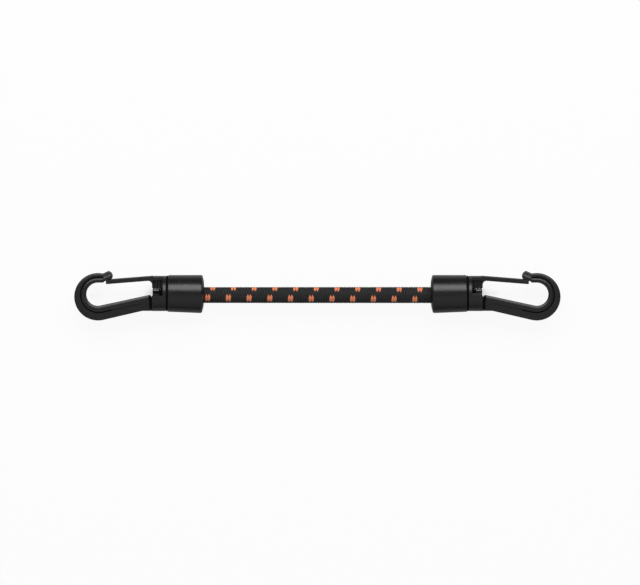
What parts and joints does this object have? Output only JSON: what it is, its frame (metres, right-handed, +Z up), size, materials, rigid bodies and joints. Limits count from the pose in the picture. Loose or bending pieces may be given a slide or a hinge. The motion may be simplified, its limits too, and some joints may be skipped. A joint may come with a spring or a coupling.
{
  "type": "bungee cord",
  "caption": "Short elastic cord with a black braided jacket, a cap on each end and a plastic snap hook that turns on each cap.",
  "frame": {"origin": "under the middle of the whole cord, on the surface that its caps lie on", "axes": "+X along the cord from the left hook to the right hook, +Y to the side of both gates, +Z up, square to the plane of the hooks"},
  "size_m": [0.2496, 0.0254, 0.0196],
  "materials": {
    "hook_nylon": "satin moulded black nylon",
    "cap_nylon": "satin moulded black nylon",
    "post_nylon": "smooth black nylon",
    "braided_jacket": "braided black polyester with one orange tracer yarn",
    "rubber_core": "natural rubber, cut square",
    "crimp_steel": "zinc-plated steel"
  },
  "bodies": {
    "left_end": {"left_cap": "cap_nylon", "left_crimp": "crimp_steel", "left_swivel_post": "post_nylon", "cord_jacket": "braided_jacket", "rubber_thread_01": "rubber_core", "rubber_thread_02": "rubber_core", "rubber_thread_03": "rubber_core", "rubber_thread_04": "rubber_core", "rubber_thread_05": "rubber_core", "rubber_thread_06": "rubber_core", "rubber_thread_07": "rubber_core", "rubber_thread_08": "rubber_core", "rubber_thread_09": "rubber_core", "rubber_thread_10": "rubber_core", "rubber_thread_11": "rubber_core", "rubber_thread_12": "rubber_core", "rubber_thread_13": "rubber_core", "rubber_thread_14": "rubber_core", "rubber_thread_15": "rubber_core", "rubber_thread_16": "rubber_core", "rubber_thread_17": "rubber_core", "rubber_thread_18": "rubber_core", "rubber_thread_19": "rubber_core", "rubber_thread_20": "rubber_core", "rubber_thread_21": "rubber_core"},
    "left_hook": {"left_hook_body": "hook_nylon"},
    "left_gate": {"left_gate": "hook_nylon"},
    "right_end": {"right_cap": "cap_nylon", "right_crimp": "crimp_steel", "right_swivel_post": "post_nylon"},
    "right_hook": {"right_hook_body": "hook_nylon"},
    "right_gate": {"right_gate": "hook_nylon"}
  },
  "joints": [
    {"name": "cord_stretch", "type": "slide", "parent": "left_end", "child": "right_end", "axis": [1, 0, 0], "range_m": [0, 0.11], "stiffness_N_per_m": 1300, "deforming": ["cord_jacket", "rubber_thread_01", "rubber_thread_02", "rubber_thread_03", "rubber_thread_04", "rubber_thread_05", "rubber_thread_06", "rubber_thread_07", "rubber_thread_08", "rubber_thread_09", "rubber_thread_10", "rubber_thread_11", "rubber_thread_12", "rubber_thread_13", "rubber_thread_14", "rubber_thread_15", "rubber_thread_16", "rubber_thread_17", "rubber_thread_18", "rubber_thread_19", "rubber_thread_20", "rubber_thread_21"]},
    {"name": "left_swivel", "type": "hinge", "parent": "left_end", "child": "left_hook", "pos_m": [-0.08, 0.00117, 0.0098], "axis": [-1, 0, 0], "continuous": true},
    {"name": "right_swivel", "type": "hinge", "parent": "right_end", "child": "right_hook", "pos_m": [0.08, 0.00117, 0.0098], "axis": [1, 0, 0], "continuous": true},
    {"name": "left_gate_flex", "type": "hinge", "parent": "left_hook", "child": "left_gate", "pos_m": [-0.0881, 0.00879, 0.0098], "axis": [0, 0, 1], "range_deg": [0, 22], "stiffness_Nm_per_rad": 0.55},
    {"name": "right_gate_flex", "type": "hinge", "parent": "right_hook", "child": "right_gate", "pos_m": [0.0881, 0.00879, 0.0098], "axis": [0, 0, -1], "range_deg": [0, 22], "stiffness_Nm_per_rad": 0.55}
  ]
}
